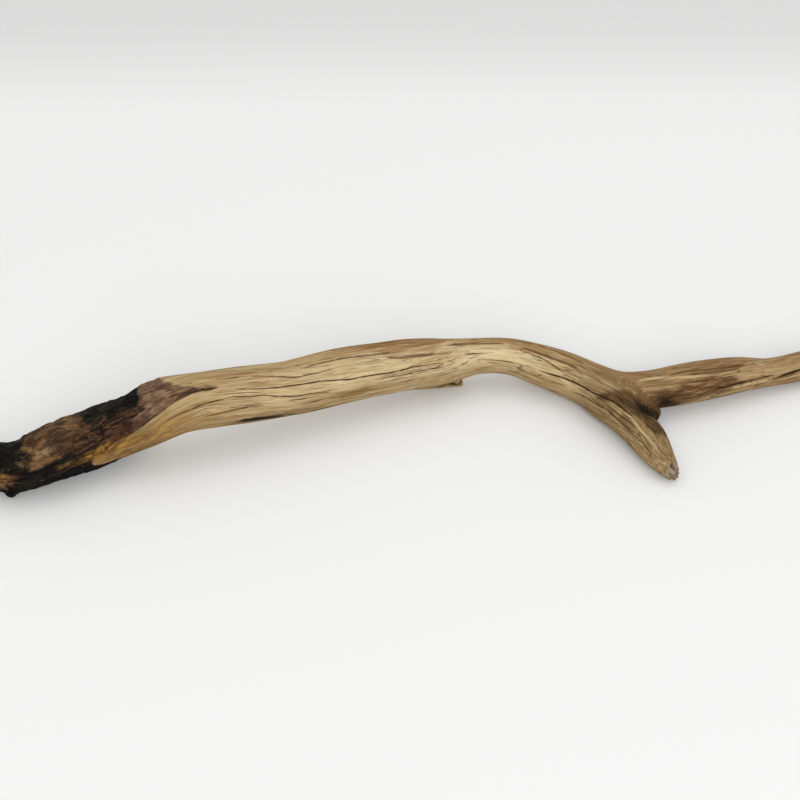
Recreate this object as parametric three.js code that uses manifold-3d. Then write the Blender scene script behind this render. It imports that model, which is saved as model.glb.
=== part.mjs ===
// A piece of driftwood: one forked branch, worn smooth by water, lying on its low points.
// The stem runs along X with its charred, splintered butt at -X, bows away to +Y and up,
// thins over the bend, and forks into a long slender branch (+X) and a short blunt prong (-Y).
// Millimetres, +Z up, the flat resting facets at Z = 0, the origin under the middle of its box.
import * as THREE from "three";
import { mergeVertices } from "three/addons/utils/BufferGeometryUtils.js";
import Module from "manifold-3d";

const RING_CORNERS = 24; // corners round the wood
const RING_STEP = 6; // mm from one ring of corners to the next
const RIDGE_DEPTH = 0.035; // weathered ridges and valleys, as a share of the radius
const GRAIN_TURN = 0.012; // radians the grain winds round the wood per mm
const SPLINTER_DEPTH = 3.2; // how far splinters stand out of a broken end

// Stations along the heart of the wood: [x, y, z of the centre, half width, half height].
const STEM = [
  [-224, -48, 12.5, 9.0, 9.5],
  [-216, -47, 12.6, 12.0, 12.3],
  [-205, -46, 12.9, 13.2, 13.4],
  [-190, -38.6, 15.6, 13.9, 13.8],
  [-174, -27.8, 16.2, 13.2, 13.2],
  [-155, -24, 22.0, 14.2, 14.4],
  [-136, -19, 26.5, 13.5, 13.8],
  [-118, -13, 25.6, 13.4, 13.4],
  [-90, -3, 22.6, 13.5, 13.2],
  [-62, 9, 21.0, 13.6, 13.5],
  [-33, 20, 18.4, 12.8, 12.6],
  [-13, 25, 17.0, 11.4, 11.6],
  [4, 31, 15.8, 9.3, 9.2],
  [22, 32, 15.0, 9.0, 8.8],
  [37, 27.5, 13.5, 10.2, 10.0],
  [51, 21.5, 11.8, 11.0, 10.6],
  [64, 13.5, 11.0, 11.2, 10.8],
  [76, 9.5, 10.8, 10.2, 10.0],
  [90, 10, 11.4, 9.6, 9.4],
  [105, 13.5, 11.6, 9.9, 9.6],
  [121, 18, 11.2, 9.2, 9.2],
  [137, 23, 10.2, 8.3, 8.4],
  [153, 27, 8.8, 6.8, 7.0],
  [170, 32.5, 8.2, 7.0, 7.0],
  [190, 41, 7.2, 6.4, 6.2],
  [210, 50, 5.6, 5.2, 5.0],
  [226, 56, 4.4, 3.4, 3.6],
];
const PRONG = [
  [50, 21, 11.8, 8.0, 8.0],
  [59, 14, 11.4, 9.8, 9.6],
  [67, 5, 11.2, 10.8, 10.4],
  [74.5, -4, 11.0, 10.9, 10.6],
  [80.5, -14.5, 10.0, 9.6, 9.6],
  [85.5, -25, 8.4, 8.4, 8.2],
  [89.5, -34, 6.6, 6.8, 7.0],
  [91.6, -39.5, 5.4, 5.4, 5.8],
  [92.8, -43, 4.4, 3.8, 4.4],
];

// Stubs of lost twigs: foot, tip and radius at the foot. The first stands on the ground.
const SPURS = [
  { foot: [-9, 27, 13], tip: [-2, 28.4, -1.5], radius: 6.0 },
  { foot: [-36, 20.5, 10], tip: [-2.5, 28.2, 1.0], radius: 7.2 }, // the broken flange before it
  { foot: [-209, -49, 9], tip: [-213, -57.5, 0.9], radius: 5.0 },
  { foot: [-217, -41, 18], tip: [-226, -38, 24], radius: 4.4 },
];

// The web of wood that fills the crotch of the fork: middle, half lengths along X, Y, Z, and a turn about Z.
const WEB = { at: [83, -2.5, 8.4], half: [11.4, 11.0, 6.4], turn: 0 };

// Hollows cut into the wood: middle, half lengths along X, Y, Z, and a turn about Z.
const HOLLOWS = [
  { at: [87.5, -5.5, 20.0], half: [7.0, 5.5, 6.0], turn: -0.5 }, // the rotted crotch of the fork
  { at: [-91, -15.5, 16.5], half: [13.0, 2.6, 2.2], turn: 0.36 }, // slit under the stem
  { at: [-221, -54, 10.0], half: [9.0, 4.5, 4.5], turn: 0.1 }, // rot eaten into the butt
  { at: [113, 10.0, 20.0], half: [13.0, 2.6, 2.0], turn: 0.26 }, // groove over the branch
];

// Long drying checks: start and end stations along the stem, the side they open on
// (radians round the wood, 0 at +Y, a quarter turn at the top) and how wide they gape.
const CHECKS = [
  { from: 0.10, to: 0.20, side: 2.0, width: 2.0 },
  { from: 0.33, to: 0.45, side: 2.5, width: 1.4 },
  { from: 0.60, to: 0.69, side: 2.45, width: 1.8 },
  { from: 0.78, to: 0.90, side: 2.3, width: 1.6 },
];

// A curve through the stations with its own half width and half height.
function branchLine(stations) {
  const heart = new THREE.CatmullRomCurve3(
    stations.map(([x, y, z]) => new THREE.Vector3(x, y, z)), false, "centripetal");
  const girth = new THREE.CatmullRomCurve3(
    stations.map(([, , , w, h], i) => new THREE.Vector3(w, h, i)), false, "catmullrom", 0.5);
  return { heart, girth, length: heart.getLength(), last: stations.length - 1 };
}

// The frame at a share t of the way along: across to the +Y side, and up.
function frameAt(line, t) {
  const middle = line.heart.getPoint(t);
  const along = line.heart.getTangent(t);
  const across = new THREE.Vector3(0, 0, 1).cross(along).normalize();
  const up = along.clone().cross(across);
  const girth = line.girth.getPoint(t);
  return { middle, along, across, up, half: [girth.x, girth.y] };
}

// How far the wood swells or dips at one angle: long ridges that wind with the grain.
function ridge(angle, run) {
  const wound = angle - GRAIN_TURN * run;
  return 1
    + RIDGE_DEPTH * Math.sin(3 * wound + 0.6)
    + 0.6 * RIDGE_DEPTH * Math.sin(5 * wound + 0.035 * run)
    + 0.5 * RIDGE_DEPTH * Math.sin(8 * wound - 0.05 * run);
}

// A point on the surface, `out` mm beyond the wood's skin.
function skinPoint(frame, angle, run, out = 0) {
  const swell = ridge(angle, run);
  return frame.middle.clone()
    .addScaledVector(frame.across, (frame.half[0] * swell + out) * Math.cos(angle))
    .addScaledVector(frame.up, (frame.half[1] * swell + out) * Math.sin(angle));
}

// How far each splinter of a broken end reaches past the last ring.
function splinter(angle, ring) {
  return SPLINTER_DEPTH * (Math.sin(4 * angle + 2 * ring) * 0.55 + Math.sin(7 * angle + ring) * 0.45);
}

// Closes rings of corners into one skin, each end fanned to a middle point.
function skinOf(rings, startMiddle, endMiddle) {
  const corners = rings[0].length;
  const points = rings.flat();
  const faces = [];
  for (let i = 0; i + 1 < rings.length; i++) {
    for (let j = 0; j < corners; j++) {
      const a = i * corners + j;
      const b = i * corners + ((j + 1) % corners);
      faces.push(a, b, a + corners, b, b + corners, a + corners);
    }
  }
  const start = points.push(startMiddle) - 1;
  const end = points.push(endMiddle) - 1;
  const lastRing = (rings.length - 1) * corners;
  for (let j = 0; j < corners; j++) {
    const k = (j + 1) % corners;
    faces.push(start, k, j);
    faces.push(end, lastRing + j, lastRing + k);
  }
  const geometry = new THREE.BufferGeometry().setFromPoints(points);
  geometry.setIndex(faces);
  return geometry;
}

// Wood lofted round its heart line, both ends snapped off in splinters.
function branch(stations) {
  const line = branchLine(stations);
  const count = Math.round(line.length / RING_STEP);
  const rings = [];
  for (let i = 0; i <= count; i++) {
    const frame = frameAt(line, i / count);
    const run = (i / count) * line.length;
    const ring = [];
    for (let j = 0; j < RING_CORNERS; j++) {
      ring.push(skinPoint(frame, (j / RING_CORNERS) * 2 * Math.PI, run));
    }
    rings.push(ring);
  }
  const first = frameAt(line, 0);
  const last = frameAt(line, 1);
  const snapped = (frame, way, share, size) => rings[0].map((_, j) => {
    const angle = (j / RING_CORNERS) * 2 * Math.PI;
    const narrow = { ...frame, half: frame.half.map((h) => h * size) };
    return skinPoint(narrow, angle, 0)
      .addScaledVector(frame.along, way * share * (2.6 + splinter(angle, size * 3)));
  });
  const lastSize = Math.min(1, last.half[0] / 6);
  rings.unshift(snapped(first, -1, 0.5, 0.5), snapped(first, -1, 0.9, 0.84));
  rings.push(snapped(last, 1, 0.8 * lastSize, 0.84), snapped(last, 1, 0.6 * lastSize, 0.5));
  const startMiddle = first.middle.clone().addScaledVector(first.along, 1.5);
  const endMiddle = last.middle.clone().addScaledVector(last.along, lastSize);
  return skinOf(rings, startMiddle, endMiddle);
}

// A drying check: a thin wedge let into the skin along the grain, pointed at both ends.
function check({ from, to, side, width }) {
  const line = branchLine(STEM);
  const steps = 14;
  const rings = [];
  for (let i = 0; i <= steps; i++) {
    const share = i / steps;
    const t = from + (to - from) * share;
    const frame = frameAt(line, t);
    const run = t * line.length;
    const angle = side + GRAIN_TURN * run * 0.25 + 0.06 * Math.sin(9 * share);
    const gape = (width / 2) * Math.sin(Math.PI * (0.08 + 0.84 * share));
    const spread = gape / frame.half[0];
    rings.push([
      skinPoint(frame, angle - spread * 1.6, run, 1.2),
      skinPoint(frame, angle + spread * 1.6, run, 1.2),
      skinPoint(frame, angle, run, -1.4 - gape),
    ]);
  }
  const middleOf = (ring) => ring[0].clone().add(ring[1]).add(ring[2]).divideScalar(3);
  return skinOf(rings, middleOf(rings[0]), middleOf(rings[steps]));
}

// A pointed stub of a lost twig.
function spur({ foot, tip, radius }) {
  const from = new THREE.Vector3(...foot);
  const aim = new THREE.Vector3(...tip).sub(from);
  const geometry = new THREE.CylinderGeometry(radius * 0.3, radius, aim.length(), 10, 2);
  geometry.translate(0, aim.length() / 2, 0);
  const turn = new THREE.Quaternion().setFromUnitVectors(new THREE.Vector3(0, 1, 0), aim.normalize());
  return geometry.applyQuaternion(turn).translate(...foot);
}

// An oval lump, which is joined on as a swelling or cut away as a hollow.
function oval({ at, half, turn }) {
  return new THREE.SphereGeometry(1, 16, 10)
    .scale(...half)
    .rotateZ(turn)
    .translate(...at);
}

const wasm = await Module();
wasm.setup();

function solid(geometry) {
  const bare = new THREE.BufferGeometry();
  bare.setAttribute("position", geometry.getAttribute("position"));
  bare.setIndex(geometry.getIndex());
  const joined = mergeVertices(bare, 1e-4);
  return new wasm.Manifold(new wasm.Mesh({
    numProp: 3,
    vertProperties: joined.attributes.position.array,
    triVerts: new Uint32Array(joined.index.array),
  }));
}

function geometryOf(body) {
  const mesh = body.getMesh();
  const geometry = new THREE.BufferGeometry();
  geometry.setAttribute("position", new THREE.BufferAttribute(mesh.vertProperties, 3));
  geometry.setIndex(new THREE.BufferAttribute(mesh.triVerts, 1));
  geometry.computeVertexNormals();
  return geometry;
}

// The whole piece: stem, prong and spurs grown together, hollowed, checked and worn flat below.
function driftwood() {
  let body = solid(branch(STEM)).add(solid(branch(PRONG))).add(solid(oval(WEB)));
  for (const one of SPURS) {
    body = body.add(solid(spur(one)));
  }
  for (const one of HOLLOWS) {
    body = body.subtract(solid(oval(one)));
  }
  for (const one of CHECKS) {
    body = body.subtract(solid(check(one)));
  }
  const ground = new THREE.BoxGeometry(600, 300, 40).translate(0, 0, -20);
  body = body.subtract(solid(ground));
  const geometry = geometryOf(body);
  geometry.computeBoundingBox();
  const box = geometry.boundingBox;
  const middle = box.getCenter(new THREE.Vector3());
  geometry.translate(-middle.x, -middle.y, -box.min.z);
  return geometry;
}

const weatheredWood = new THREE.MeshStandardMaterial({
  color: 0xa58a64,
  roughness: 0.82,
  metalness: 0,
});
weatheredWood.name = "weathered_wood";

const piece = new THREE.Mesh(driftwood(), weatheredWood);
piece.name = "driftwood";

const root = new THREE.Group();
root.name = "driftwood_branch";
root.add(piece);

export default root;
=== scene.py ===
import math

import bpy
import numpy as np
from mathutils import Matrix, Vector


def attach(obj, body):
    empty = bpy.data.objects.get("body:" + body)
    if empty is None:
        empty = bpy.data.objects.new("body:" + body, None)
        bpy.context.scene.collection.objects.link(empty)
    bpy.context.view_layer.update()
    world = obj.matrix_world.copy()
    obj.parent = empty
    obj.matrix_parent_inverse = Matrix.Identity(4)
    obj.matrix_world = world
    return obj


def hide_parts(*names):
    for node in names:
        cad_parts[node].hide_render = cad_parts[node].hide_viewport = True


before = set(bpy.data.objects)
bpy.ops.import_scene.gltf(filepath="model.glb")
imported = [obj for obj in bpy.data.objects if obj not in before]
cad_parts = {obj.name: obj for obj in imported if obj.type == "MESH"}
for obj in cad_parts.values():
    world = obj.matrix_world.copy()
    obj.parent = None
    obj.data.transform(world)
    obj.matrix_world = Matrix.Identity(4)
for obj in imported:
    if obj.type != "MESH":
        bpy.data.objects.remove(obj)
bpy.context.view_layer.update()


# ---------------------------------------------------------------------------------------------
# The branch: one grown piece of bare wood, washed, split and bleached by water, its butt charred.
# It lies on the butt, a stub and the prong. The stem and the long arm share one heart line, and
# the prong's runs with it to the fork. Sizes here are millimetres, brought to metres at the end.
# ---------------------------------------------------------------------------------------------
MM = 0.001
CENTRING = np.array([0.4917, 0.4339, 0.0])  # brings the middle of the box over the origin

# Stations along the heart of the wood: x, y, z of the centre, half width, half height.
STEM = np.array([
    [-224, -48, 12.5, 9.0, 9.5],
    [-216, -47, 12.6, 12.0, 12.3],
    [-205, -46, 12.9, 13.2, 13.4],
    [-190, -38.6, 15.6, 13.9, 13.8],
    [-174, -28.4, 15.7, 13.4, 13.6],
    [-155, -24, 22.0, 14.2, 14.4],
    [-136, -19, 26.5, 13.5, 13.8],
    [-118, -13, 25.6, 13.4, 13.4],
    [-90, -3, 22.6, 13.5, 13.2],
    [-62, 9, 21.0, 13.6, 13.5],
    [-33, 20, 18.4, 12.8, 12.6],
    [-13, 25, 17.0, 11.4, 11.6],
    [4, 31, 15.8, 9.3, 9.2],
    [22, 32, 15.0, 9.0, 8.8],
    [37, 27.5, 13.5, 10.2, 10.0],
    [51, 21.5, 11.8, 11.0, 10.6],
    [64, 13.5, 11.0, 11.2, 10.8],
    [76, 9.5, 10.8, 10.2, 10.0],
    [90, 10, 11.4, 9.6, 9.4],
    [105, 13.5, 11.6, 9.9, 9.6],
    [121, 18, 11.2, 9.2, 9.2],
    [137, 23, 10.2, 8.3, 8.4],
    [153, 27, 8.8, 6.8, 7.0],
    [170, 32.5, 8.2, 7.0, 7.0],
    [190, 41, 7.2, 6.4, 6.2],
    [210, 50, 5.6, 5.2, 5.0],
    [226, 56, 4.4, 3.4, 3.6],
])
PRONG = np.array([
    [50, 21, 11.8, 8.0, 8.0],
    [59, 14, 11.4, 9.8, 9.6],
    [67, 5, 11.2, 10.8, 10.4],
    [74.5, -4, 11.0, 10.9, 10.6],
    [80.5, -14.5, 10.0, 9.6, 9.6],
    [85.5, -25, 8.4, 8.4, 8.2],
    [89.5, -34, 6.6, 6.8, 7.0],
    [92.2, -39.2, 5.4, 5.4, 5.8],
    [94.0, -42.4, 4.4, 3.8, 4.4],
])
FORK_STATION = 15  # stem stations that the prong's wood shares
STEPS = 48  # steps along a heart line from one station to the next
PAST_ENDS = 12  # how far past its ends a heart line is still followed
MOST_AT_ONCE = 20000  # points that look for their place along a heart line together


class HeartLine:
    """A limb's heart: its middle, frame and girth at close steps along its run."""

    def __init__(self, stations):
        rows = [self.between(stations, i, t) for i in range(len(stations) - 1)
                for t in np.linspace(0, 1, STEPS, endpoint=False)]
        table = np.array(rows + [stations[-1]])
        self.middle = table[:, :3]
        self.half = table[:, 3:]
        along = np.gradient(self.middle, axis=0)
        self.along = along / np.linalg.norm(along, axis=1, keepdims=True)
        across = np.cross([0, 0, 1], self.along)
        self.across = across / np.linalg.norm(across, axis=1, keepdims=True)
        self.up = np.cross(self.along, self.across)
        steps = np.linalg.norm(np.diff(self.middle, axis=0), axis=1)
        self.run = np.concatenate([[0], np.cumsum(steps)])
        self.length = self.run[-1]

    @staticmethod
    def between(stations, i, t):
        """A centripetal curve through stations i and i + 1."""
        p1, p2 = stations[i], stations[i + 1]
        p0 = stations[i - 1] if i else 2 * p1 - p2
        p3 = stations[i + 2] if i + 2 < len(stations) else 2 * p2 - p1
        d0, d1, d2 = (math.sqrt(np.linalg.norm((b - a)[:3]))
                      for a, b in ((p0, p1), (p1, p2), (p2, p3)))
        m1 = ((p1 - p0) / d0 - (p2 - p0) / (d0 + d1) + (p2 - p1) / d1) * d1
        m2 = ((p2 - p1) / d1 - (p3 - p1) / (d1 + d2) + (p3 - p2) / d2) * d1
        h = (2 * t**3 - 3 * t**2 + 1, t**3 - 2 * t**2 + t, -2 * t**3 + 3 * t**2, t**3 - t**2)
        return h[0] * p1 + h[1] * m1 + h[2] * p2 + h[3] * m2

    def read(self, table, run):
        columns = [np.interp(run, self.run, table[:, k]) for k in range(table.shape[1])]
        return np.stack(columns, axis=1)

    def at(self, run):
        """Middle, along, across, up and half sizes at each run, going straight on past the ends."""
        along, across, up = (self.read(v, run) for v in (self.along, self.across, self.up))
        middle = self.read(self.middle, run) + along * (run - np.clip(run, 0, self.length))[:, None]
        return middle, along, across, up, self.read(self.half, run)

    def grain_of(self, points):
        """Each point's run, how far across and how far up it lies, and its share of the girth."""
        coarse = np.arange(0, len(self.run), STEPS // 2)
        nearest = np.zeros(len(points), int)
        for part in np.array_split(np.arange(len(points)), max(1, len(points) // MOST_AT_ONCE)):
            gap = ((points[part, None, :] - self.middle[None, coarse, :]) ** 2).sum(2)
            nearest[part] = gap.argmin(1)
        run = self.run[coarse[nearest]].copy()
        for _ in range(6):
            middle, along, _, _, _ = self.at(run)
            run += 0.9 * ((points - middle) * along).sum(1)
            run = np.clip(run, -PAST_ENDS, self.length + PAST_ENDS)
        middle, along, across, up, half = self.at(run)
        offset = points - middle
        side, rise = (offset * across).sum(1), (offset * up).sum(1)
        share = np.hypot(side / half[:, 0], rise / half[:, 1])
        return run, side, rise, share


def ridge(angle, run):
    """How far the wood swells or dips: long ridges that wind with the grain."""
    wound = angle - 0.012 * run
    return (1 + 0.035 * np.sin(3 * wound + 0.6) + 0.021 * np.sin(5 * wound + 0.035 * run)
            + 0.0175 * np.sin(8 * wound - 0.05 * run))


def ring_faces(rings, corners):
    """The faces between rings of points, each ring with the same number of corners."""
    return [(i * corners + j, i * corners + (j + 1) % corners,
             (i + 1) * corners + (j + 1) % corners, (i + 1) * corners + j)
            for i in range(rings - 1) for j in range(corners)]


def tube_faces(rings, corners):
    """The sides of a closed tube, then its two flat ends."""
    first, last = range(corners - 1, -1, -1), range((rings - 1) * corners, rings * corners)
    return ring_faces(rings, corners) + [tuple(first), tuple(last)]


def limb_tube(line, start, stop, step=1.2, corners=72):
    """Points and faces of a closed tube round a stretch of a heart line."""
    runs = np.linspace(start, stop, int((stop - start) / step) + 1)
    angle = np.linspace(0, 2 * math.pi, corners, endpoint=False)
    middle, along, across, up, half = line.at(runs)
    swell = ridge(angle[None, :], runs[:, None])
    side = (half[:, :1] * swell * np.cos(angle))[:, :, None] * across[:, None, :]
    rise = (half[:, 1:] * swell * np.sin(angle))[:, :, None] * up[:, None, :]
    points = (middle[:, None, :] + side + rise).reshape(-1, 3)
    return points, tube_faces(len(runs), corners)


def twig_stub(foot, tip, radius, end=0.3, corners=20):
    """Points and faces of a tapered stub, where a twig broke away."""
    foot, tip = np.array(foot, float), np.array(tip, float)
    aim = (tip - foot) / np.linalg.norm(tip - foot)
    side = np.cross(aim, [0.3, 1, 0.2])
    side /= np.linalg.norm(side)
    other = np.cross(aim, side)
    angle = np.linspace(0, 2 * math.pi, corners, endpoint=False)[:, None]
    round_it = np.cos(angle) * side + np.sin(angle) * other
    rings = [foot + (tip - foot) * t + round_it * radius * (1 + (end - 1) * t) for t in (0, 0.5, 1)]
    return np.concatenate(rings), tube_faces(len(rings), corners)


def burl(middle, half, corners=24):
    """Points and faces of an oval swelling."""
    rise = np.linspace(-math.pi / 2, math.pi / 2, corners // 2 + 1)[1:-1]
    angle = np.linspace(0, 2 * math.pi, corners, endpoint=False)
    ball = [(math.cos(r) * math.cos(a), math.cos(r) * math.sin(a), math.sin(r))
            for r in rise for a in angle]
    points = np.array(ball + [(0, 0, -1), (0, 0, 1)]) * half + middle
    faces = ring_faces(len(rise), corners)
    last = (len(rise) - 1) * corners
    faces += [(len(ball), (j + 1) % corners, j) for j in range(corners)]
    faces += [(len(ball) + 1, last + j, last + (j + 1) % corners) for j in range(corners)]
    return points, faces


def mesh_object(name, pieces):
    """One object from several closed pieces of points and faces."""
    points, faces = [], []
    for piece_points, piece_faces in pieces:
        start = len(points)
        points += piece_points.tolist()
        faces += [tuple(start + k for k in face) for face in piece_faces]
    mesh = bpy.data.meshes.new(name)
    mesh.from_pydata(points, [], faces)
    made = bpy.data.objects.new(name, mesh)
    bpy.context.scene.collection.objects.link(made)
    return made


def apply_modifier(target, kind, **settings):
    """Runs one modifier on a mesh and keeps its result."""
    modifier = target.modifiers.new(kind.title(), kind)
    for key, value in settings.items():
        setattr(modifier, key, value)
    evaluated = target.evaluated_get(bpy.context.evaluated_depsgraph_get())
    result = bpy.data.meshes.new_from_object(evaluated)
    target.modifiers.clear()
    spent = target.data
    target.data = result
    bpy.data.meshes.remove(spent)


def points_of(mesh):
    flat = np.zeros(len(mesh.vertices) * 3, np.float32)
    mesh.vertices.foreach_get("co", flat)
    return flat.reshape(-1, 3).astype(float)


def normals_of(mesh):
    flat = np.zeros(len(mesh.vertices) * 3, np.float32)
    mesh.vertex_normals.foreach_get("vector", flat)
    return flat.reshape(-1, 3).astype(float)


def move_points(mesh, points):
    mesh.vertices.foreach_set("co", points.astype(np.float32).ravel())
    mesh.update()


def relax(mesh, weight, rounds):
    """Evens out the surface, most where weight is highest."""
    points = points_of(mesh)
    ends = np.zeros(len(mesh.edges) * 2, np.int32)
    mesh.edges.foreach_get("vertices", ends)
    a, b = ends[0::2], ends[1::2]
    links = np.bincount(ends, minlength=len(points)).astype(float)[:, None]
    for _ in range(rounds):
        total = np.stack([np.bincount(a, points[b, k], len(points))
                          + np.bincount(b, points[a, k], len(points)) for k in range(3)], axis=1)
        points += weight[:, None] * (total / links - points)
    move_points(mesh, points)


stem_line = HeartLine(STEM)
prong_line = HeartLine(np.vstack([STEM[:FORK_STATION], PRONG]))
FORK_RUN = stem_line.run[STEPS * (FORK_STATION - 1)]

driftwood = mesh_object("driftwood_branch", [
    limb_tube(stem_line, -2.5, stem_line.length + 2.0),
    limb_tube(prong_line, FORK_RUN + 6, prong_line.length + 0.8),
    burl([83, -2.5, 8.4], [11.4, 11, 6.4]),
    twig_stub([-9, 27, 13], [-2, 28.4, -1.5], 5.6, end=0.3),
    twig_stub([-36, 20.5, 10.6], [-2.5, 28.2, 1.0], 6.9, end=0.3),
    twig_stub([-209, -49, 9], [-212.6, -57.0, 1.8], 6.4, end=0.45),
    twig_stub([-217, -41, 18], [-225, -38.4, 23.2], 4.6, end=0.38),
])
SKIN_SIZE = 1.15  # the joined pieces are skinned over in cubes of this size
apply_modifier(driftwood, "REMESH", mode="VOXEL", voxel_size=SKIN_SIZE)

# The wood grows together at the fork, so the skin is evened out most there.
FORK_MIDDLE = np.array([72, 5, 11.0])
FORK_REACH = 34
reach = np.linalg.norm(points_of(driftwood.data) - FORK_MIDDLE, axis=1)
relax(driftwood.data, 0.10 + 0.5 * np.clip(1.3 - reach / FORK_REACH, 0, 1), rounds=12)
apply_modifier(driftwood, "SUBSURF", levels=2)


def hash_of(i, j, k, seed):
    """A steady random number for each cell of a lattice."""
    mix = (i * 73856093) ^ (j * 19349663) ^ (k * 83492791) ^ (seed * 2654435761)
    mix = (mix ^ (mix >> 13)) * 1274126177
    return ((mix ^ (mix >> 16)) & 0xFFFFFF) / float(0xFFFFFF)


def drift(p, seed):
    """Soft random rises and falls, from -1 to 1, one lattice cell apart."""
    cell = np.floor(p).astype(np.int64)
    part = p - cell
    part = part * part * (3 - 2 * part)
    total = np.zeros(len(p))
    for corner in range(8):
        pick = np.array([corner & 1, corner >> 1 & 1, corner >> 2 & 1])
        share = np.prod(np.where(pick, part, 1 - part), axis=1)
        total += share * hash_of(*(cell + pick).T, seed)
    return 2 * total - 1


def cells(p, seed):
    """A broken-up surface: how far each point is inside its cell, and the cell's random number."""
    home = np.floor(p).astype(np.int64)
    nearest = np.full(len(p), 9.0)
    second = np.full(len(p), 9.0)
    number = np.zeros(len(p))
    for step in np.ndindex(3, 3, 3):
        there = home + np.array(step) - 1
        spot = there + np.stack([hash_of(*there.T, seed + k) for k in range(3)], axis=1)
        gap = np.linalg.norm(spot - p, axis=1)
        closer = gap < nearest
        second = np.where(closer, nearest, np.minimum(second, gap))
        number = np.where(closer, hash_of(*there.T, seed + 3), number)
        nearest = np.minimum(nearest, gap)
    return second - nearest, number


def smooth(low, high, x):
    t = np.clip((x - low) / (high - low), 0, 1)
    return t * t * (3 - 2 * t)


def grain_field(points):
    """Where each point lies in the wood: run, across and up, following whichever limb it is in."""
    run_a, side_a, rise_a, share_a = stem_line.grain_of(points)
    run_b, side_b, rise_b, share_b = prong_line.grain_of(points)
    past = smooth(FORK_RUN - 10, FORK_RUN + 20, np.minimum(run_a, run_b))
    in_prong = past * smooth(-0.35, 0.35, share_a - share_b)
    in_stem, in_both = np.stack([run_a, side_a, rise_a]), np.stack([run_b, side_b, rise_b])
    return (*(in_stem + (in_both - in_stem) * in_prong), in_prong)


points = points_of(driftwood.data)
normals = normals_of(driftwood.data)
run, side, rise, in_prong = grain_field(points)
angle = np.degrees(np.arctan2(rise, side)) % 360
girth = np.hypot(side, rise)

# The fire ate the butt back to a curled lip: its edge is far up the top and far down the side.
EDGE_ANGLES = [0, 50, 80, 100, 115, 120, 124, 138, 148, 158,
               164, 168, 172, 190, 200, 210, 240, 300, 360]
EDGE_RUNS = [80, 90, 93, 97, 103, 106, 100, 90, 85, 78, 70, 58, 46, 44, 52, 60, 66, 72, 80]
uneven_edge = 1.2 * drift(np.stack([run / 9, side / 4, rise / 4], 1), 5)
burn = np.interp(angle, EDGE_ANGLES, EDGE_RUNS) - run + uneven_edge

# The grain sweeps round the charred side, crowding under the lip, then winds along the stem.
LIP_END, SWEEP_END = 118, 240  # angles at which the lip runs out and the grain runs straight again
edge_angle = np.interp(run, [44, 58, 70, 78, 85, 90, 100, 106],
                       [172, 168, 164, 158, 148, 138, 124, LIP_END])
swept = LIP_END + (angle - edge_angle) * (SWEEP_END - LIP_END) / (SWEEP_END - edge_angle)
flow = np.where(angle < edge_angle, angle * LIP_END / edge_angle,
                np.where(angle < SWEEP_END, swept, angle))
WOUND_RUNS = [106, 133, 150, 165, 180, 196, 212, 226, 250, 284, 300, 320, 370, 398, 419, 480]
WOUND_ANGLES = [0, 4, 13, 17, 19, 20, 16, 9, 5, 8, 6, 8, 6, -9, -22, -30]
winding = np.interp(run, WOUND_RUNS, WOUND_ANGLES)
prong_winding = np.interp(run, [284, 300, 325, 350, 375], [8, 2, -12, -28, -34])
flow = flow - winding + in_prong * (winding - prong_winding)
cross = girth[:, None] * np.stack([np.cos(np.radians(flow)), np.sin(np.radians(flow))], axis=1)


def streaks(length, width, seed):
    return drift(np.column_stack([run / length, cross / width]), seed)


# Weathering cuts the soft wood back between long ridges, deepest on the arm and the fork.
carved = 0.7 + 0.75 * smooth(285, 350, run)
depth = carved * (0.55 * streaks(60, 6.5, 1) + 0.34 * streaks(34, 3.2, 2))
depth += 0.18 * streaks(40, 1.7, 3) + 0.07 * streaks(22, 0.9, 4)

order = np.argsort(run)
sorted_run = run[order]


def beside(path, limb, field, wander=0.35):
    """Points by a path along the wood, how far beside it they lie, and 0 at its ends to 1 midway."""
    path = np.array(path, float)
    low, high = np.searchsorted(sorted_run, [path[0, 0], path[-1, 0]])
    near = order[low:high]
    own = in_prong[near] > 0.5 if limb == "prong" else in_prong[near] < 0.1
    near = near[(run[near] < FORK_RUN + 25) | own]
    t = 2 * (run[near] - path[0, 0]) / (path[-1, 0] - path[0, 0]) - 1
    turn = (field[near] - np.interp(run[near], path[:, 0], path[:, 1]) + 180) % 360 - 180
    path_number = np.full(len(near), path[0, 1])
    sway = wander * drift(np.column_stack([run[near] / 7, path_number, 0 * t]), 61)
    return near, np.radians(turn) * girth[near] - sway, np.clip(1 - t * t, 0, 1)


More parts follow.
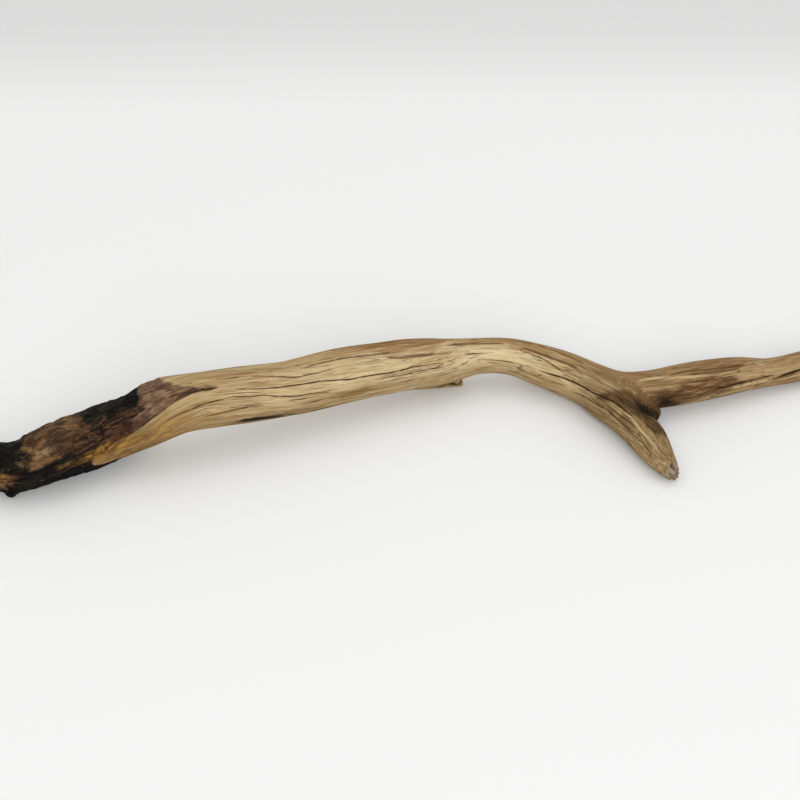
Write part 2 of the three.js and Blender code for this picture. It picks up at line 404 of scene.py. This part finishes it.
# Drying checks: half width, depth, limb, and a path of runs and angles.
placed_checks = [
    (0.42, 1.4, "arm", [(92, 119), (102, 119.5), (112, 121)]),
    (0.15, 0.6, "arm", [(84, 169), (95, 158), (105, 150), (118, 144),
                        (133, 149), (150, 162), (172, 168)]),
    (0.14, 0.5, "arm", [(126, 104), (134, 107), (151, 123), (170, 124)]),
    (0.17, 0.7, "arm", [(120, 130), (135, 133), (159, 142), (177, 150),
                        (196, 152), (212, 147), (229, 140)]),
    (0.13, 0.4, "arm", [(103, 178), (114, 172), (129, 170)]),
    (0.13, 0.4, "arm", [(186, 162), (205, 161), (215, 157), (228, 150)]),
    (0.17, 0.5, "arm", [(236, 134), (252, 133)]),
    (0.16, 0.4, "arm", [(243, 152), (253, 157), (268, 164)]),
    (0.14, 0.4, "arm", [(270, 118), (276, 121), (284, 126), (296, 142)]),
    (0.45, 1.3, "arm", [(366, 171), (372, 170), (385, 163), (400, 154)]),
    (0.60, 1.6, "arm", [(399, 170), (405, 164), (413, 150), (421, 143), (434, 138)]),
    (0.27, 1.0, "prong", [(280, 158), (300, 150), (325, 135), (344, 117)]),
    (0.16, 0.4, "prong", [(300, 184), (306, 174), (314, 164), (328, 158), (340, 156)]),
    (0.16, 0.4, "prong", [(324, 151), (338, 141), (349, 127)]),
    (0.16, 0.4, "prong", [(330, 162), (351, 147), (361, 142)]),
    (1.10, 2.4, "arm", [(121, 203), (133, 207), (147, 211)]),
]
splits = [(half_width, how_deep, limb, angle, path)
          for half_width, how_deep, limb, path in placed_checks]

# More checks are scattered over the back and the underside, along the grain.
chance = np.random.default_rng(11)
for limb, start, stop, count in (("arm", 110, 290, 18), ("arm", 345, 470, 10), ("prong", 310, 368, 5)):
    for _ in range(count):
        first = chance.uniform(start, stop)
        turned = chance.uniform(190, 450) % 360
        length = chance.uniform(16, 46)
        half_width = chance.uniform(0.14, 0.3)
        how_deep = chance.uniform(0.3, 1.0)
        splits.append((half_width, how_deep, limb, flow, [(first, turned), (first + length, turned)]))

FAR_FROM_SPLIT = 4.0
split_off = np.full(len(points), FAR_FROM_SPLIT)
split_half = np.zeros(len(points))
split_depth = np.zeros(len(points))
for half_width, how_deep, limb, field, path in splits:
    near, off, ends = beside(path, limb, field)
    uneven = 1 + 0.5 * drift(np.column_stack([run[near] / 3, 0 * ends, 0 * ends]), 62)
    half = half_width * ends ** 0.6 * uneven
    closer = np.abs(off) < np.abs(split_off[near])
    split_off[near[closer]] = off[closer]
    split_half[near[closer]] = half[closer]
    groove = np.clip(1 - np.abs(off) / (half + 0.35), 0, 1) ** 0.7
    split_depth[near] = np.maximum(split_depth[near], groove * how_deep * smooth(0.0, 0.3, ends))

# Brown grooves, and the pale ridge of hard wood that arches over the fork.
stain = np.zeros(len(points))
pale_ridge = np.zeros(len(points))
for half_width, how_deep, limb, path, mark in (
        (1.5, 0.8, "arm", [(195, 118), (205, 122), (224, 117)], stain),
        (1.6, 1.0, "arm", [(342, 97), (360, 93), (374, 95), (388, 99)], stain),
        (1.4, 0.6, "arm", [(352, 108), (370, 112), (384, 110)], stain),
        (2.2, 1.0, "arm", [(347, 140), (358, 158), (372, 168)], stain),
        (1.2, 0.5, "arm", [(266, 106), (284, 110), (303, 113)], stain),
        (1.1, 0.5, "arm", [(274, 82), (290, 87), (304, 91)], stain),
        (0.9, 0.4, "arm", [(226, 96), (246, 100), (262, 98)], stain),
        (1.5, -1.1, "arm", [(327, 114), (330, 110), (338, 104), (350, 117), (366, 123)], pale_ridge),
        (1.3, -0.7, "arm", [(374, 176), (386, 174), (398, 168)], pale_ridge),
        (0.8, -0.4, "prong", [(332, 130), (350, 122), (366, 114)], pale_ridge)):
    near, off, ends = beside(path, limb, angle)
    band = np.clip(1 - np.abs(off) / half_width, 0, 1) * smooth(0.0, 0.5, ends)
    mark[near] = np.maximum(mark[near], band)
    depth[near] -= how_deep * smooth(0, 1, band)


def hump(field, middle, spread):
    return np.exp(-((field - middle) / spread) ** 2)


# The burnt end is lumpy, fuller low down and waisted over its top.
low_side = smooth(160, 195, angle) * (1 - smooth(235, 265, angle))
depth += low_side * (1.5 * hump(run, 53, 12) - 1.5 * hump(run, 21, 8))
over_top = smooth(15, 50, angle) * (1 - smooth(105, 130, angle))
depth += over_top * (0.7 * hump(run, 88, 7) - 1.3 * hump(run, 71, 6) - 1.2 * hump(run, 11, 6))

# Charring sinks the butt under its lip and breaks its skin into plates, some of them lost.
in_char = smooth(-0.6, 1.6, burn)
under_lip = smooth(108, 118, angle) * (1 - smooth(172, 190, angle))
depth += 0.9 * hump(burn, -2.2, 2.0) * under_lip - 0.9 * hump(burn, 0.4, 0.8) * under_lip
skin = np.flatnonzero(burn > -1.5)
plate_gap, plate = np.ones(len(points)), np.zeros(len(points))
shaken = np.column_stack([run / 6.5, cross / 2.6])[skin]
shaken += 0.25 * np.stack([drift(shaken * 2.1 + 7 * k, 70 + k) for k in range(3)], axis=1)
plate_gap[skin], plate[skin] = cells(shaken, 81)
whole = 1 - smooth(74, 84, run) * smooth(60, 75, angle)
depth += in_char * (0.55 * (plate - 0.6) - 0.3 * whole * (1 - smooth(0.0, 0.14, plate_gap)))
depth += in_char * (0.40 * streaks(6, 2.4, 22) + 0.22 * streaks(2.2, 1.2, 23) - 0.5)


# The crotch has rotted to a swirling hollow, and the prong's end has two small knots.
def dent(middle, size):
    """How deep in a soft oval hollow each point is, 1 at its middle."""
    gap = np.linalg.norm((points - np.array(middle)) / np.array(size), axis=1)
    return np.exp(-gap ** 2)


def pit(at_run, at_angle, size):
    """How deep in a small round hole or knot in the prong each point is, 1 at its middle."""
    gap = ((run - at_run) / size) ** 2 + (np.radians(angle - at_angle) * girth / size) ** 2
    return np.exp(-gap) * in_prong


eaten = dent([85.5, -8.5, 18], [7.5, 7, 6])
# This hollow mask also sets where the finish paints shade into the crotch and the knots.
hollow = 1.1 * eaten + 0.9 * dent([92.5, -7, 9], [6, 9, 8]) + 0.9 * dent([98, 2, 9], [6, 5, 7])
hollow += 0.6 * dent([73, -4, 20], [8, 3.5, 5])
hollow = np.clip(hollow, 0, 1.2)
depth -= 3.0 * eaten + 0.7 * hollow + 0.7 * hollow * drift(points / np.array([4.5, 2.0, 2.0]), 91)
knots = pit(371.5, 92, 1.3) + 0.5 * pit(367.5, 147, 1.1)
depth -= 1.3 * knots
hollow = np.clip(hollow + knots, 0, 1.2)

points += normals * (depth - split_depth)[:, None]


# Broken ends: the fibres snap at uneven lengths.
def snap(points, line, at_start, chosen, reach, width, seed):
    """The points, with the chosen ones near one end of a limb pulled out or in along it."""
    end_run = 0.0 if at_start else line.length
    way = -1.0 if at_start else 1.0
    _, along, _, _, _ = line.at(np.array([end_run]))
    beyond = smooth(-3.0, 1.5, way * (run - end_run)) * chosen
    pulled = reach * (drift(np.column_stack([cross / width, 0 * run]), seed)
                      + 0.5 * drift(np.column_stack([cross / (0.45 * width), 0 * run]), seed + 1))
    return points + (beyond * pulled * way)[:, None] * along


on_butt, on_arm_tip = run < 20, (in_prong < 0.5) & (run > 400)
points = snap(points, stem_line, at_start=True, chosen=on_butt, reach=3.4, width=2.6, seed=31)
points = snap(points, stem_line, at_start=False, chosen=on_arm_tip, reach=2.0, width=1.6, seed=41)
points = snap(points, prong_line, at_start=False, chosen=in_prong > 0.5, reach=2.2, width=1.2, seed=51)
points[:, 2] = np.maximum(points[:, 2], 0.0)

# What each point knows of its place in the wood goes to the finish. "split" holds how far beside the
# nearest check it lies, the same without its sign, and half the check's width.
move_points(driftwood.data, points)
for name, values in (("burn", burn), ("hollow", hollow), ("prong", in_prong), ("stain", stain),
                     ("pale_ridge", pale_ridge), ("plate", plate), ("plate_gap", plate_gap)):
    layer = driftwood.data.attributes.new(name, "FLOAT", "POINT")
    layer.data.foreach_set("value", values.astype(np.float32))
for name, values in (("grain", (run, *cross.T)), ("place", (run, side, rise)),
                     ("split", (split_off, np.abs(split_off), split_half))):
    layer = driftwood.data.attributes.new(name, "FLOAT_VECTOR", "POINT")
    layer.data.foreach_set("vector", np.stack(values, axis=1).astype(np.float32).ravel())

FINE_TRIANGLES = 196000
driftwood.data.calc_loop_triangles()
apply_modifier(driftwood, "DECIMATE", ratio=FINE_TRIANGLES / len(driftwood.data.loop_triangles))
finished = points_of(driftwood.data)
finished[:, 2] = np.maximum(finished[:, 2], 0.0)
move_points(driftwood.data, (finished + CENTRING) * MM)
driftwood.data.polygons.foreach_set("use_smooth", [True] * len(driftwood.data.polygons))


class Value:
    """A shader value. Arithmetic on it adds the maths nodes that work it out."""

    def __init__(self, socket):
        self.socket = socket
        self.tree = socket.id_data

    def feed(self, slot, item):
        if isinstance(item, Value):
            self.tree.links.new(item.socket, slot)
        else:
            slot.default_value = item

    def maths(self, operation, *terms):
        made = self.tree.nodes.new("ShaderNodeMath")
        made.operation = operation
        for slot, item in zip(made.inputs, terms):
            self.feed(slot, item)
        return Value(made.outputs[0])

    def __add__(self, other):
        return self.maths("ADD", self, other)

    def __radd__(self, other):
        return self.maths("ADD", other, self)

    def __sub__(self, other):
        return self.maths("SUBTRACT", self, other)

    def __rsub__(self, other):
        return self.maths("SUBTRACT", other, self)

    def __mul__(self, other):
        return self.maths("MULTIPLY", self, other)

    def __rmul__(self, other):
        return self.maths("MULTIPLY", other, self)

    def __truediv__(self, other):
        return self.maths("DIVIDE", self, other)

    def __pow__(self, other):
        return self.maths("POWER", self, other)

    def __abs__(self):
        return self.maths("ABSOLUTE", self)

    def larger(self, other):
        return self.maths("MAXIMUM", self, other)

    def smaller(self, other):
        return self.maths("MINIMUM", self, other)

    def step(self, low, high):
        """0 below low, 1 above high, and a soft rise between."""
        made = self.tree.nodes.new("ShaderNodeMapRange")
        made.interpolation_type = "SMOOTHSTEP"
        for slot, item in zip(made.inputs, (self, low, high, 0.0, 1.0)):
            self.feed(slot, item)
        return Value(made.outputs[0])


class Finish:
    """A material under construction."""

    def __init__(self, name):
        self.material = bpy.data.materials.new(name)
        self.material.use_nodes = True
        self.tree = self.material.node_tree
        self.shader = self.tree.nodes["Principled BSDF"]

    def node(self, kind, output=0, settings=None, **sockets):
        """A node of one kind, its settings set first, then the values or links of its sockets."""
        made = self.tree.nodes.new("ShaderNode" + kind)
        for key, value in (settings or {}).items():
            setattr(made, key, value)
        for key, item in sockets.items():
            slot = made.inputs[int(key[1:]) if key[0] == "_" else key.replace("_", " ")]
            Value(slot).feed(slot, item)
        return Value(made.outputs[output])

    def attribute(self, name, output="Fac"):
        return self.node("Attribute", output, {"attribute_name": name})

    def stretched(self, vector, run, across):
        """The wood's own coordinates, drawn out along the grain."""
        return self.node("VectorMath", 0, {"operation": "MULTIPLY"}, _0=vector,
                         _1=(1 / run, 1 / across, 1 / across))

    def noise(self, vector, detail=3.0, roughness=0.55, distortion=0.0):
        return self.node("TexNoise", "Fac", None, Vector=vector, Scale=1.0, Detail=detail,
                         Roughness=roughness, Distortion=distortion)

    def mix(self, a, b, factor):
        """Colour a turning to colour b by factor."""
        return self.node("Mix", 2, {"data_type": "RGBA", "clamp_factor": True}, _0=factor, _6=a, _7=b)

    def layered(self, base, *layers):
        """A colour with others laid over it in turn, each given with how far it covers."""
        for tone, cover in layers:
            base = self.mix(base, tone, cover)
        return base

    def set(self, **sockets):
        for key, item in sockets.items():
            slot = self.shader.inputs[key.replace("_", " ")]
            Value(slot).feed(slot, item)


def paint(red, green, blue):
    """A colour as a paint chart gives it, 0 to 255, turned to the light it reflects."""
    linear = [(c / 255 / 12.92) if c <= 10 else ((c / 255 + 0.055) / 1.055) ** 2.4
              for c in (red, green, blue)]
    return (*linear, 1.0)


# "grain" follows the winding fibres. "place" gives the run along the wood in millimetres and, by its
# other two numbers, the angle round it in degrees, with 90 on top.
wood = Finish("weathered_wood")
grain = wood.attribute("grain", "Vector")
place = wood.attribute("place", "Vector")
place_run, place_side, place_rise = (wood.node("SeparateXYZ", k, None, Vector=place) for k in range(3))
round_angle = place_rise.maths("ARCTAN2", place_rise, place_side) * (180 / math.pi)
around = round_angle.maths("WRAP", round_angle, 360.0, 0.0)
on_prong = wood.attribute("prong")
on_stem = 1 - on_prong

broad = wood.noise(wood.stretched(grain, 46, 9), 2.0)
cloud = wood.noise(wood.stretched(place, 16, 6), 3.0, 0.6)
figure = wood.noise(wood.stretched(grain, 44, 1.9), 4.0, 0.6, 0.3)
streak = wood.noise(wood.stretched(grain, 19, 0.95), 4.0, 0.65, 0.2)
fibre = wood.noise(wood.stretched(grain, 16, 0.5), 4.0, 0.65)
pore = wood.noise(wood.stretched(grain, 5, 0.26), 3.0, 0.7)
ragged = wood.noise(wood.stretched(grain, 9, 3.2), 5.0, 0.65)
blotch = wood.noise(wood.stretched(place, 5, 3.5), 5.0, 0.7)
ARC = 0.235  # millimetres round the wood to a degree, at its usual girth


def region(*inside, fray=5.0, soft=1.5, rough=None):
    """The surface inside every line given, its edge frayed, all in millimetres."""
    least = inside[0]
    for other in inside[1:]:
        least = least.smaller(other)
    return (least + ((rough or ragged) - 0.5) * fray).step(-soft, soft)


def zone(run_low, run_high, angle_low, angle_high, fray=5.0, soft=1.5, rough=None):
    """A patch between two runs and two angles, its ends frayed to fingers along the grain."""
    return region((place_run - run_low) * 0.3, (run_high - place_run) * 0.3, (around - angle_low) * ARC,
                  (angle_high - around) * ARC, fray=fray, soft=soft, rough=rough)


def oval(run_middle, half_run, angle_middle, half_angle, fray=5.0, rough=None):
    """A frayed oval patch about a run and an angle."""
    along, across = (place_run - run_middle) / half_run, (around - angle_middle) / half_angle
    inside = (1 - (along * along + across * across) ** 0.5) * (half_angle * ARC)
    return region(inside, fray=fray, rough=rough)


# Bare wood, from cream where it is bleached to orange and brown where the soft wood is cut back.
cream, straw, tan_tone = paint(208, 188, 148), paint(188, 163, 121), paint(164, 137, 96)
orange, brown, umber = paint(152, 114, 70), paint(122, 90, 56), paint(88, 60, 36)
bleached_bend, warm_top, shaded_side = paint(210, 190, 150), paint(150, 116, 76), paint(148, 122, 84)
shoulder, knot_orange, olive = paint(142, 108, 66), paint(140, 100, 60), paint(118, 92, 46)
arm_tan, arm_pale, worn_brown = paint(130, 98, 62), paint(160, 134, 94), paint(84, 52, 28)
prong_tan, broken_grey = paint(128, 104, 68), paint(150, 144, 132)

pale_cloud = wood.noise(wood.stretched(place, 26, 7), 3.0, 0.6)
# Painted shade: the lower half, from the near side round underneath, is darkened.
shaded_low_half = region((around - 172) * ARC, (330 - around) * ARC, soft=3.0)
knot_start = (place_run - 180 - (around - 60) * 0.3) * 0.4
knot_stop = (235 - place_run - (around - 60) * 0.25) * 0.4
knot_stain = region(knot_start, knot_stop, (112 - around) * ARC, (around - 10) * ARC, soft=1.6)
on_arm = place_run.step(304, 332) * on_stem
bare = wood.layered(
    wood.mix(tan_tone, straw, broad.step(0.34, 0.56)),
    (orange, cloud.step(0.52, 0.68) * 0.45),
    (cream, pale_cloud.step(0.48, 0.64) * 0.6),
    (orange, zone(100, 205, 20, 100, 7.0, 3.0) * 0.4),
    (tan_tone, zone(98, 128, 112, 210, 8.0, 4.0) * 0.6),
    (cream, zone(144, 212, 112, 158, 8.0, 4.0) * 0.5),
    (warm_top, zone(170, 274, 20, 94, 7.0, 2.0) * 0.55),
    (bleached_bend, zone(232, 282, 104, 158, 6.0, 3.0) * 0.85),
    (shaded_side, shaded_low_half * 0.6),
    (shoulder, zone(262, 336, 10, 118, 5.0, 0.9) * 0.8),
    (knot_orange, knot_stain * figure.step(0.32, 0.52) * 0.8),
    (olive, oval(180, 15, 184, 10, 6.0) * 0.7),
    (arm_tan, on_arm * 0.7),
    (arm_pale, zone(362, 424, 112, 190, 7.0, 2.5) * on_stem * 0.6),
    (prong_tan, place_run.step(292, 322) * on_prong * 0.85),
    (worn_brown, oval(361, 22, 161, 34, 8.0) * fibre.step(0.28, 0.5) * on_stem * 0.95))

# Figure, streaks, fibres and pores, then the carved ridges and grooves.
ridge_cream, groove_brown = paint(206, 180, 138), paint(96, 62, 34)
pale_ridge = wood.attribute("pale_ridge")
groove = wood.attribute("stain") + (fibre - 0.5) * 0.9
bare = wood.layered(
    bare,
    (brown, figure.step(0.52, 0.66) * 0.42),
    (cream, figure.step(0.46, 0.32) * 0.42 * (1 - on_arm * 0.5)),
    (brown, streak.step(0.53, 0.64) * 0.40),
    (cream, streak.step(0.46, 0.36) * 0.30),
    (brown, fibre.step(0.53, 0.68) * 0.55),
    (cream, fibre.step(0.46, 0.32) * 0.40),
    (umber, pore.step(0.58, 0.74) * 0.40),
    (ridge_cream, pale_ridge.step(0.1, 0.8) * 0.5),
    (groove_brown, groove.step(0.1, 0.8) * 0.8))


def hairlines(length, width, thin, gap_length, gap_width, gap_low, gap_high):
    """Fine dark splits: where a stretched noise crosses its middle, broken off by another."""
    wave = wood.noise(wood.stretched(grain, length, width), 1.5, 0.4, 0.25)
    line = 1 - abs(wave - 0.5).step(0.0, thin)
    return line * wood.noise(wood.stretched(grain, gap_length, gap_width), 1.0).step(gap_low, gap_high)


long_hairlines = hairlines(53, 2.3, 0.022, 34, 4.5, 0.44, 0.54)
short_hairlines = hairlines(38, 1.3, 0.018, 22, 3.2, 0.47, 0.56)
hairline = long_hairlines.larger(short_hairlines * 0.8)

# The checks: a dark core, and a brown edge where the water has worn it.
split = wood.attribute("split", "Vector")
split_side, split_near, split_width = (wood.node("SeparateXYZ", k, None, Vector=split) for k in range(3))
open_split = split_width.step(0.03, 0.09)
split_reach = split_width + 0.02
check_core = (abs(split_side) / split_reach).step(1.4, 0.5) * split_near.step(1.3, 0.7) * open_split
check_edge = (split_near / split_reach).step(3.0, 1.0) * open_split

# Painted shade in the rotted crotch: the hollow, the web below it and the arm's underside beyond.
hollow = wood.attribute("hollow")
shade_under_arm = zone(322, 351, 164, 250, 4.0, 1.5) * on_stem
web_below = (140 - (place_run - 325) * 1.6 - around) * ARC
web_above = (around - 126 + (place_run - 322) * 3.4) * ARC * 0.7
web_start, web_stop = (place_run - 320) * 0.5, (356 - place_run) * 0.4
shaded_web = region(web_start, web_stop, web_below, web_above, fray=3.5, soft=1.2) * on_prong
swirled_shade = wood.mix(paint(44, 30, 14), paint(104, 75, 44), (figure * 0.5 + blotch * 0.5).step(0.42, 0.62))
hairline_brown, edge_brown, core_brown = paint(62, 40, 25), paint(116, 82, 50), paint(50, 32, 20)
hollow_shade_brown, hollow_shade_dark, hollow_shade_black = paint(86, 60, 32), paint(34, 22, 12), paint(20, 14, 8)
seam_brown, slit_shade_black = paint(112, 84, 52), paint(18, 12, 8)
bare = wood.layered(
    bare,
    (hairline_brown, hairline * 0.7),
    (edge_brown, check_edge * 0.5),
    (core_brown, check_core * 0.85),
    # Painted shade: the crotch hollow and the prong's knots, darkening from brown to black.
    (hollow_shade_brown, (hollow + (figure - 0.5) * 0.9).step(0.12, 0.5) * 0.85),
    (hollow_shade_dark, (hollow + (fibre - 0.5) * 1.6).step(0.5, 0.95) * 0.85),
    (swirled_shade, shade_under_arm.larger(shaded_web) * 0.9),
    (hollow_shade_black, (hollow + (fibre - 0.5) * 1.2).step(0.65, 1.05) * 0.8),
    (seam_brown, on_prong * on_stem * 4 * place_run.step(304, 316) * 0.7),
    (broken_grey, (on_prong * place_run).step(370, 373) * ragged.step(0.44, 0.56) * 0.6),
    # Painted shade: the deep slit low on the stem's near side is painted black.
    (slit_shade_black, oval(133, 14, 208, 11, 3.0) * 0.95))

# The burnt butt: soot over brown wood, with the bare wood showing where it has flaked away, and
# painted glints as small pale flecks. The char's edge is ragged, except where it is a clean curled lip.
burn = wood.attribute("burn")
plate = wood.attribute("plate")
plate_gap = wood.attribute("plate_gap")
fray_depth = 7 - 6.2 * around.step(104, 118) + 9 * around.step(164, 174)
charred = (burn + (ragged - 0.5) * fray_depth).step(-0.7, 0.9)
patchy = wood.noise(wood.stretched(place, 7, 3.2), 6.0, 0.68, 0.6)
sooty_patch = wood.noise(wood.stretched(place, 4.5, 2.2), 5.0, 0.7, 0.8)
glint_fleck_noise = wood.noise(wood.stretched(place, 3.2, 1.4), 3.0, 0.7)


def between_tones(dark, light, pattern, low, high):
    """A dark paint turning to a light one as a pattern rises from low to high."""
    return wood.mix(paint(*dark), paint(*light), pattern.step(low, high))


soot = between_tones((7, 6, 4), (30, 24, 17), blotch * 0.75 + plate * 0.25, 0.44, 0.62)
flaked = between_tones((62, 42, 26), (122, 90, 60), patchy * 0.8 + plate * 0.2, 0.38, 0.62)
flaked = wood.mix(flaked, paint(20, 15, 10), sooty_patch.step(0.56, 0.62) * 0.8)
streaked = between_tones((20, 14, 10), (96, 66, 46), fibre * 0.5 + patchy * 0.5, 0.45, 0.60)
roll = between_tones((74, 52, 40), (140, 111, 84), patchy * 0.6 + fibre * 0.4, 0.40, 0.60)
golden = between_tones((88, 56, 22), (160, 120, 58), fibre * 0.5 + ragged * 0.5, 0.42, 0.60)
splintered = between_tones((44, 27, 18), (146, 108, 74), fibre * 0.5 + blotch * 0.5, 0.43, 0.60)
ash, reddish, glint_fleck_tone = paint(66, 58, 44), paint(66, 38, 28), paint(164, 146, 120)
pale_spot, gap_black, lip_shadow = paint(150, 128, 92), paint(12, 9, 6), paint(34, 20, 16)

roll_start = (place_run - 81 + (around - 126).step(0, 18) * 7) * 0.7
roll_patch = region(roll_start, (160 - around) * ARC, (around - 10) * ARC,
                    fray=9.0, soft=1.0, rough=blotch)
gap_lines = plate_gap.step(0.10, 0.02) * (1 - place_run.step(66, 78)) * blotch.step(0.4, 0.56)
burnt = wood.layered(
    soot,
    (flaked, zone(22, 48, 50, 152, 7.0, 1.0, blotch)),
    (streaked, zone(38, 84, 112, 163, 8.0, 2.0, patchy) * 0.9),
    (ash, zone(40, 66, 30, 108, 8.0, 2.0) * fibre.step(0.5, 0.62) * 0.8),
    (roll, roll_patch),
    (reddish, zone(64, 94, 142, 164, 6.0, 2.0) * 0.6),
    (soot, zone(17, 50, 158, 240, 5.0, 1.0, blotch) * 0.9),
    (splintered, oval(-2, 17, 177, 36, 7.0, blotch)),
    (golden, oval(12, 4, 162, 8, 4.0) * 0.8),
    # Painted glints: small pale flecks over the char.
    (glint_fleck_tone, glint_fleck_noise.step(0.68, 0.74) * 0.6),
    (pale_spot, oval(29, 4, 128, 7, 5.0) * 0.65),
    (gap_black, gap_lines * 0.5))

at_edge = 1 - abs(burn).step(0.0, 0.6)
colour = wood.layered(
    bare,
    (golden, zone(36, 102, 150, 240, 16.0, 6.0) * 0.75),
    (burnt, charred),
    (golden, oval(58, 20, 172, 11, 5.0) * 0.85),
    (lip_shadow, at_edge * around.step(112, 120) * around.step(176, 168) * 0.8))

relief = figure * 0.4 + fibre * 0.55 + pore * 0.25
relief = relief - hairline * 0.5 - check_core * 0.8 + blotch * charred * 0.8
bump = wood.node("Bump", 0, None, Strength=0.8, Distance=0.0006, Height=relief)
wood.set(Base_Color=colour, Roughness=0.92 - fibre * 0.14 - charred * 0.12, Normal=bump,
         Specular_IOR_Level=0.1)

driftwood.data.materials.clear()
driftwood.data.materials.append(wood.material)
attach(driftwood, "root")
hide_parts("driftwood")


# ---------------------------------------------------------------------------------------------
# The table: a plain pale matt sheet the branch lies on, far wider than the branch.
# It turns a little greyer towards the back.
# ---------------------------------------------------------------------------------------------
HALF_SHEET = 6.0
sheet_mesh = bpy.data.meshes.new("table_sheet")
sheet_mesh.from_pydata([(-HALF_SHEET, -HALF_SHEET, 0), (HALF_SHEET, -HALF_SHEET, 0),
                        (HALF_SHEET, HALF_SHEET, 0), (-HALF_SHEET, HALF_SHEET, 0)], [], [(0, 1, 2, 3)])
table_sheet = bpy.data.objects.new("table_sheet", sheet_mesh)
bpy.context.scene.collection.objects.link(table_sheet)
pale = Finish("pale_sheet")
how_far_back = pale.node("SeparateXYZ", 1, None, Vector=pale.node("NewGeometry", 0))
near_tone, back_tone = (0.80, 0.80, 0.80, 1.0), (0.68, 0.68, 0.68, 1.0)
pale.set(Base_Color=pale.mix(near_tone, back_tone, how_far_back.step(0.30, 0.46)), Roughness=0.9,
         Specular_IOR_Level=0.1)
sheet_mesh.materials.append(pale.material)


# ---------------------------------------------------------------------------------------------
# Studio light: a bright even room, a weak soft panel above and behind the branch, and a
# stronger one lower down in front of it, both round and aimed at its middle.
# ---------------------------------------------------------------------------------------------
room = bpy.data.worlds.new("studio_room")
room.use_nodes = True
room_light = room.node_tree.nodes["Background"]
room_light.inputs["Color"].default_value = (0.985, 0.995, 0.98, 1.0)
room_light.inputs["Strength"].default_value = 0.85
bpy.context.scene.world = room


def soft_panel(name, place, size, watts):
    lamp = bpy.data.lights.new(name, "AREA")
    lamp.shape = "DISK"
    lamp.size = size
    lamp.energy = watts
    made = bpy.data.objects.new(name, lamp)
    made.location = place
    made.rotation_euler = (-Vector(place)).to_track_quat("-Z", "Y").to_euler()
    bpy.context.scene.collection.objects.link(made)


soft_panel("panel_above", (0.15, 0.55, 1.7), size=1.5, watts=3.5)
soft_panel("panel_front", (0.3, -1.7, 1.0), size=1.2, watts=16.5)


# ---------------------------------------------------------------------------------------------
# The camera: looking down on the branch from the prong's side, close enough for both ends
# to run out of its view.
# ---------------------------------------------------------------------------------------------
SENSOR = 36.0
LENS_TO_SENSOR = 1.8
DISTANCE = 0.72
camera_data = bpy.data.cameras.new("camera")
camera_data.sensor_width = SENSOR
camera_data.lens = LENS_TO_SENSOR * SENSOR
camera_data.clip_start = 0.01
camera_data.clip_end = 50.0
camera = bpy.data.objects.new("camera", camera_data)
look_at = Vector((-0.0324, 0.0163, 0.0))
elevation = math.radians(40.0)
camera.location = look_at + Vector((0, -math.cos(elevation), math.sin(elevation))) * DISTANCE
camera.rotation_euler = (math.radians(90.0) - elevation, 0, 0)  # 90 degrees would look level
bpy.context.scene.collection.objects.link(camera)
bpy.context.scene.camera = camera
bpy.context.scene.view_settings.view_transform = "Standard"
